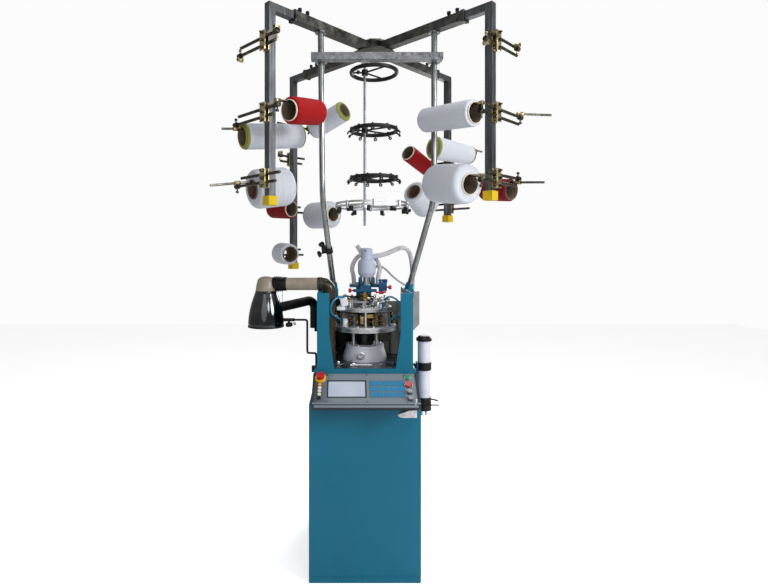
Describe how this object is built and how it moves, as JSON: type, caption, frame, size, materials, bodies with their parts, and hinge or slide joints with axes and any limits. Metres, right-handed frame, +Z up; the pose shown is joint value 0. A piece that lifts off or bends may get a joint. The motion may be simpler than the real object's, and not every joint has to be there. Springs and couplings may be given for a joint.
{
  "type": "circular knitting machine",
  "caption": "Free-standing small-diameter circular knitting machine: cabinet, console, knitting head, suction units and a telescoping overhead yarn creel.",
  "frame": {"origin": "middle of the base plate's underside, on the floor", "axes": "+Z up along the machine's height, -Y towards the operator, +X to the operator's right"},
  "size_m": [1.3627, 1.0833, 2.322],
  "materials": {
    "cabinet_paint": "teal-blue enamel, semi-gloss",
    "console_paint": "grey powder coat",
    "machined_steel": "ground steel",
    "display_glass": "lit display behind a clear window",
    "key_membrane": "embossed membrane",
    "button_bezel": "black and yellow bezels",
    "red_plastic": "moulded plastic",
    "green_plastic": "moulded plastic",
    "grey_plastic": "moulded plastic",
    "white_casting": "white enamel on a casting",
    "brass": "machined brass and steel",
    "selector_aluminium": "satin",
    "polished_steel": "polished",
    "bracket_paint": "dark blue enamel",
    "cap_enamel": "pale grey-blue enamel",
    "clear_hose": "translucent off-white",
    "blue_tube": "polyurethane tube",
    "motor_paint": "grey paint",
    "belt_rubber": "toothed belt",
    "smoked_plastic": "translucent grey",
    "bottle_plastic": "white bottle, black cap and straps",
    "hood_steel": "dark polished",
    "smoked_tube": "smoked translucent tube",
    "duct_rubber": "matte",
    "black_steel": "black oxide",
    "raw_steel": "mill scale and light galvanising",
    "galvanised_steel": "galvanised",
    "ring_black": "glossy black",
    "holder_steel": "olive passivated steel with yellow zinc clamps",
    "yarn": "wound yarn on a cardboard tube"
  },
  "bodies": {
    "frame": {"base_frame": "cabinet_paint", "cabinet_shell": "cabinet_paint", "front_cover": "cabinet_paint", "head_front_plate": "cabinet_paint", "head_side_plates": "cabinet_paint", "bed_plate": "machined_steel", "console_housing": "console_paint", "console_face": "console_paint", "display_screen": "display_glass", "keypad": "key_membrane", "button_collars": "button_bezel", "base_housing": "white_casting", "cam_plate": "machined_steel", "cam_sections": "brass", "needle_selectors": "selector_aluminium", "top_plate": "machined_steel", "dial_bracket": "bracket_paint", "suction_cap": "cap_enamel", "suction_hose": "clear_hose", "loop_hose": "clear_hose", "air_tubes": "blue_tube", "drive_motor": "motor_paint", "drive_belt": "belt_rubber", "valve_box": "smoked_plastic", "oil_reservoir": "bottle_plastic", "sock_hood": "hood_steel", "exhaust_tube": "smoked_tube", "air_duct": "duct_rubber", "hood_support": "black_steel", "creel_uprights": "raw_steel", "crossbar": "galvanised_steel", "creel_spider": "raw_steel", "guide_rod": "galvanised_steel", "sensor_ring": "polished_steel"},
    "cylinder": {"needle_cylinder": "polished_steel", "drive_pulley": "selector_aluminium"},
    "dial": {"dial": "polished_steel"},
    "motor_shaft": {"motor_pulley": "selector_aluminium"},
    "fingers": {"yarn_fingers": "polished_steel"},
    "estop": {"estop_button": "red_plastic"},
    "start": {"start_button": "green_plastic"},
    "stop": {"stop_button": "red_plastic"},
    "mode": {"mode_knob": "grey_plastic"},
    "speed": {"speed_knob": "grey_plastic"},
    "ring_1": {"guide_ring_1": "ring_black"},
    "ring_2": {"guide_ring_2": "ring_black"},
    "ring_3": {"guide_ring_3": "ring_black"},
    "door": {"rear_door": "cabinet_paint"},
    "arm_fl": {"creel_arm_fl": "raw_steel", "cone_holders_fl": "holder_steel", "yarn_packages_fl": "yarn"},
    "arm_fr": {"creel_arm_fr": "raw_steel", "cone_holders_fr": "holder_steel", "yarn_packages_fr": "yarn"},
    "arm_br": {"creel_arm_br": "raw_steel", "cone_holders_br": "holder_steel", "yarn_packages_br": "yarn"},
    "arm_bl": {"creel_arm_bl": "raw_steel", "cone_holders_bl": "holder_steel", "yarn_packages_bl": "yarn"}
  },
  "joints": [
    {"name": "cylinder_spin", "type": "hinge", "parent": "frame", "child": "cylinder", "pos_m": [0.006, -0.05, 0.87], "axis": [0, 0, 1], "continuous": true},
    {"name": "dial_spin", "type": "hinge", "parent": "frame", "child": "dial", "pos_m": [0.006, -0.05, 1.12], "axis": [0, 0, 1], "continuous": true},
    {"name": "motor_spin", "type": "hinge", "parent": "frame", "child": "motor_shaft", "pos_m": [0.112, 0.132, 0.8], "axis": [0, 0, 1], "continuous": true},
    {"name": "finger_lift", "type": "hinge", "parent": "frame", "child": "fingers", "pos_m": [-0.0249, -0.14511, 1.128], "axis": [-0.9511, 0.309, 0], "range_deg": [0, 15]},
    {"name": "estop_press", "type": "slide", "parent": "frame", "child": "estop", "axis": [0, 0.5476, -0.8368], "range_m": [0, 0.005]},
    {"name": "start_press", "type": "slide", "parent": "frame", "child": "start", "axis": [0, 0.5476, -0.8368], "range_m": [0, 0.003], "stiffness_N_per_m": 400, "springref_m": -0.001},
    {"name": "stop_press", "type": "slide", "parent": "frame", "child": "stop", "axis": [0, 0.5476, -0.8368], "range_m": [0, 0.003], "stiffness_N_per_m": 400, "springref_m": -0.001},
    {"name": "mode_turn", "type": "hinge", "parent": "frame", "child": "mode", "pos_m": [0.171, -0.34619, 0.7946], "axis": [0, -0.5476, 0.8368], "range_deg": [-45, 45]},
    {"name": "speed_turn", "type": "hinge", "parent": "frame", "child": "speed", "pos_m": [0.171, -0.37213, 0.77763], "axis": [0, -0.5476, 0.8368], "range_deg": [-135, 135]},
    {"name": "ring_1_slide", "type": "slide", "parent": "frame", "child": "ring_1", "axis": [0, 0, 1], "range_m": [-0.12, 0.015]},
    {"name": "ring_2_slide", "type": "slide", "parent": "frame", "child": "ring_2", "axis": [0, 0, 1], "range_m": [-0.08, 0.08]},
    {"name": "ring_3_slide", "type": "slide", "parent": "frame", "child": "ring_3", "axis": [0, 0, 1], "range_m": [-0.07, 0.08]},
    {"name": "door_swing", "type": "hinge", "parent": "frame", "child": "door", "pos_m": [-0.222, 0.264, 0.4], "axis": [0, 0, 1], "range_deg": [0, 100]},
    {"name": "arm_fl_extend", "type": "slide", "parent": "frame", "child": "arm_fl", "axis": [-0.7071, -0.7071, 0], "range_m": [0, 0.1]},
    {"name": "arm_fr_extend", "type": "slide", "parent": "frame", "child": "arm_fr", "axis": [0.7071, -0.7071, 0], "range_m": [0, 0.1]},
    {"name": "arm_br_extend", "type": "slide", "parent": "frame", "child": "arm_br", "axis": [0.7071, 0.7071, 0], "range_m": [0, 0.1]},
    {"name": "arm_bl_extend", "type": "slide", "parent": "frame", "child": "arm_bl", "axis": [-0.7071, 0.7071, 0], "range_m": [0, 0.1]}
  ],
  "couplings": [
    {"joint": "dial_spin", "follows": "cylinder_spin", "ratio": 1},
    {"joint": "motor_spin", "follows": "cylinder_spin", "ratio": 2.5}
  ]
}
